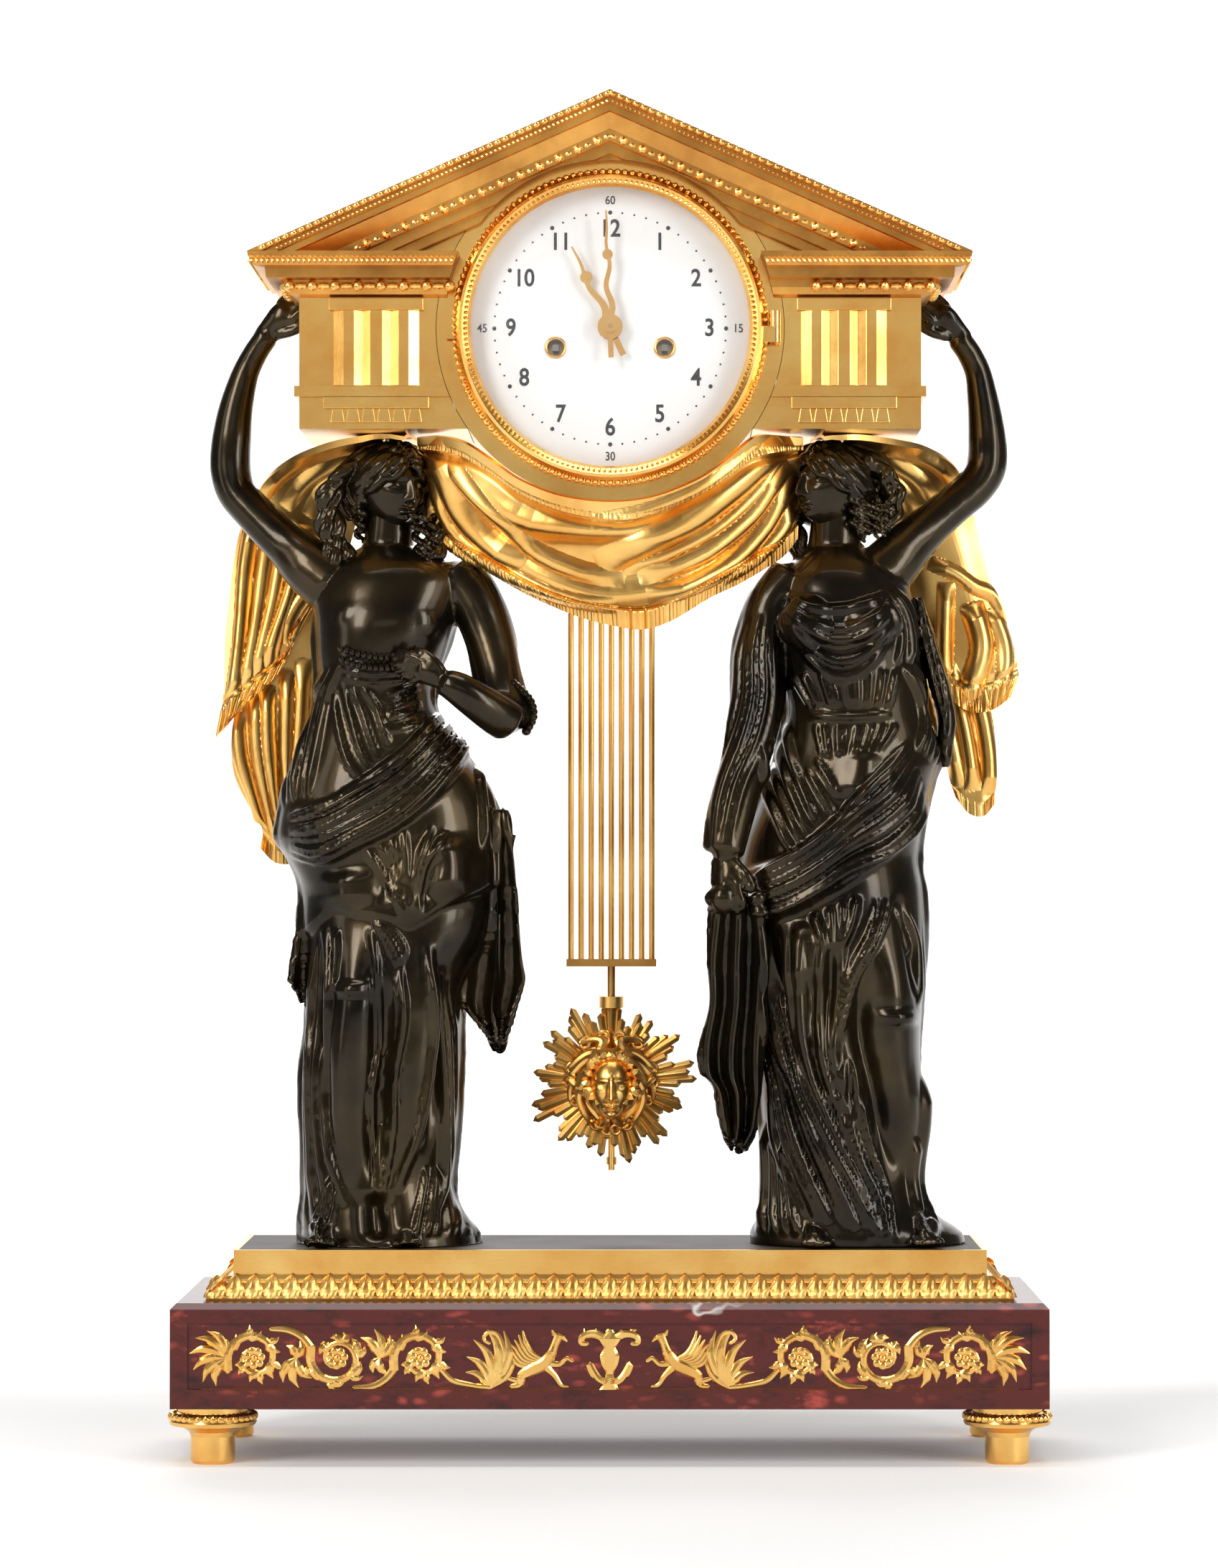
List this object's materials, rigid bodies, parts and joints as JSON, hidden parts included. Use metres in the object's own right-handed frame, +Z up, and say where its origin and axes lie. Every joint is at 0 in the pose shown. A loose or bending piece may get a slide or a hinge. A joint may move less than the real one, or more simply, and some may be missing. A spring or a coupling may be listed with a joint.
{
  "type": "portico mantel clock",
  "caption": "Mantel clock with a temple-front case carried by two draped figures over a marble base, with an opening bezel, turning hands, gear trains and a swinging pendulum.",
  "frame": {"origin": "on the floor under the middle of the clock, halfway between the outermost sides and between front and back", "axes": "+X to the right seen from the dial side, +Y to the back, +Z up"},
  "size_m": [0.456, 0.16, 0.7058],
  "materials": {
    "gilt_bronze": "mercury gilding, bright with matt grounds",
    "dark_bronze": "dark brown patinated bronze, glossy",
    "red_marble": "polished red-brown marble with pale veins",
    "enamel": "glossy white enamel",
    "glass": "clear convex glass",
    "steel": "satin steel",
    "movement_brass": "satin brass",
    "bell_metal": "turned bell bronze"
  },
  "bodies": {
    "case": {"foot_front_left": "gilt_bronze", "foot_front_right": "gilt_bronze", "foot_rear_left": "gilt_bronze", "foot_rear_right": "gilt_bronze", "marble_base": "red_marble", "frieze_mount": "gilt_bronze", "plinth": "gilt_bronze", "terrace_plate": "dark_bronze", "fixing_bolts": "steel", "figure_left": "dark_bronze", "figure_right": "dark_bronze", "raised_arm_left": "dark_bronze", "raised_arm_right": "dark_bronze", "bent_arm": "dark_bronze", "hanging_arm": "dark_bronze", "swag": "gilt_bronze", "drape_tail_left": "gilt_bronze", "drape_tail_right": "gilt_bronze", "case_wing_left": "gilt_bronze", "case_wing_right": "gilt_bronze", "triglyph_left": "gilt_bronze", "triglyph_right": "gilt_bronze", "guttae_left": "gilt_bronze", "guttae_right": "gilt_bronze", "cornice_left": "gilt_bronze", "cornice_right": "gilt_bronze", "rake_left": "gilt_bronze", "rake_right": "gilt_bronze", "tympanum": "gilt_bronze", "roof": "gilt_bronze", "drum": "gilt_bronze", "dial_plate": "movement_brass", "enamel_dial": "enamel", "bezel_hinge": "gilt_bronze", "rear_hinge": "gilt_bronze", "front_plate": "movement_brass", "back_plate": "movement_brass", "bell": "bell_metal", "suspension_cock": "movement_brass"},
    "bezel": {"bezel": "gilt_bronze", "bezel_glass": "glass"},
    "rear_door": {"rear_door": "gilt_bronze"},
    "minute": {"minute_hand": "gilt_bronze", "centre_wheel": "movement_brass"},
    "hour": {"hour_hand": "gilt_bronze"},
    "motion": {"minute_wheel": "movement_brass"},
    "going_barrel": {"going_barrel": "movement_brass"},
    "going_arbor": {"going_arbor": "steel"},
    "going_second": {"going_second_wheel": "movement_brass"},
    "third": {"third_wheel": "movement_brass"},
    "escape": {"escape_wheel": "movement_brass"},
    "anchor": {"anchor_and_crutch": "steel"},
    "strike_barrel": {"strike_barrel": "movement_brass"},
    "strike_arbor": {"strike_arbor": "steel"},
    "strike_second": {"strike_second_wheel": "movement_brass"},
    "strike_pin": {"pin_wheel": "movement_brass"},
    "fly": {"fly": "movement_brass"},
    "hammer": {"hammer": "steel"},
    "pendulum": {"gridiron": "gilt_bronze", "mask_bob": "gilt_bronze"}
  },
  "joints": [
    {"name": "bezel_open", "type": "hinge", "parent": "case", "child": "bezel", "pos_m": [0.0851, -0.0564, 0.586], "axis": [0, 0, 1], "range_deg": [0, 45]},
    {"name": "rear_door_open", "type": "hinge", "parent": "case", "child": "rear_door", "pos_m": [-0.093, 0.06, 0.586], "axis": [0, 0, 1], "range_deg": [0, 110]},
    {"name": "minute_turn", "type": "hinge", "parent": "case", "child": "minute", "pos_m": [0, 0, 0.586], "axis": [0, 1, 0], "continuous": true},
    {"name": "hour_turn", "type": "hinge", "parent": "case", "child": "hour", "pos_m": [0, 0, 0.586], "axis": [0, 1, 0], "continuous": true},
    {"name": "motion_turn", "type": "hinge", "parent": "case", "child": "motion", "pos_m": [0, 0, 0.572], "axis": [0, 1, 0], "continuous": true},
    {"name": "going_second_turn", "type": "hinge", "parent": "case", "child": "going_second", "pos_m": [0.00778, 0, 0.56329], "axis": [0, 1, 0], "continuous": true},
    {"name": "going_barrel_turn", "type": "hinge", "parent": "case", "child": "going_barrel", "pos_m": [0.0282, 0, 0.5759], "axis": [0, 1, 0], "continuous": true},
    {"name": "third_turn", "type": "hinge", "parent": "case", "child": "third", "pos_m": [-0.00826, 0, 0.60199], "axis": [0, 1, 0], "continuous": true},
    {"name": "escape_turn", "type": "hinge", "parent": "case", "child": "escape", "pos_m": [0, 0, 0.614], "axis": [0, 1, 0], "continuous": true},
    {"name": "going_wind", "type": "hinge", "parent": "case", "child": "going_arbor", "pos_m": [0.0282, 0, 0.5759], "axis": [0, 1, 0], "range_deg": [0, 1620]},
    {"name": "strike_wind", "type": "hinge", "parent": "case", "child": "strike_arbor", "pos_m": [-0.0282, 0, 0.5759], "axis": [0, 1, 0], "range_deg": [-1620, 0]},
    {"name": "strike_barrel_turn", "type": "hinge", "parent": "case", "child": "strike_barrel", "pos_m": [-0.0282, 0, 0.5759], "axis": [0, 1, 0], "continuous": true},
    {"name": "strike_second_turn", "type": "hinge", "parent": "case", "child": "strike_second", "pos_m": [-0.03237, 0, 0.59954], "axis": [0, 1, 0], "continuous": true},
    {"name": "strike_pin_turn", "type": "hinge", "parent": "case", "child": "strike_pin", "pos_m": [-0.02105, 0, 0.61302], "axis": [0, 1, 0], "continuous": true},
    {"name": "fly_turn", "type": "hinge", "parent": "case", "child": "fly", "pos_m": [-0.02342, 0, 0.62641], "axis": [0, 1, 0], "continuous": true},
    {"name": "hammer_lift", "type": "hinge", "parent": "case", "child": "hammer", "pos_m": [-0.0445, 0, 0.557], "axis": [0, 1, 0], "range_deg": [-12, 0]},
    {"name": "pendulum_swing", "type": "hinge", "parent": "case", "child": "pendulum", "pos_m": [0, 0.028, 0.628], "axis": [0, 1, 0], "range_deg": [-2, 2]},
    {"name": "anchor_rock", "type": "hinge", "parent": "case", "child": "anchor", "pos_m": [0, 0, 0.628], "axis": [0, 1, 0], "range_deg": [-2, 2]}
  ],
  "couplings": [
    {"joint": "motion_turn", "follows": "minute_turn", "ratio": -0.33333},
    {"joint": "hour_turn", "follows": "minute_turn", "ratio": 0.083333},
    {"joint": "going_second_turn", "follows": "minute_turn", "ratio": -0.14286},
    {"joint": "going_barrel_turn", "follows": "minute_turn", "ratio": 0.020408},
    {"joint": "third_turn", "follows": "minute_turn", "ratio": -8},
    {"joint": "escape_turn", "follows": "minute_turn", "ratio": 75},
    {"joint": "strike_second_turn", "follows": "strike_barrel_turn", "ratio": -7},
    {"joint": "strike_pin_turn", "follows": "strike_barrel_turn", "ratio": 70},
    {"joint": "fly_turn", "follows": "strike_barrel_turn", "ratio": -525},
    {"joint": "anchor_rock", "follows": "pendulum_swing", "ratio": 1}
  ]
}
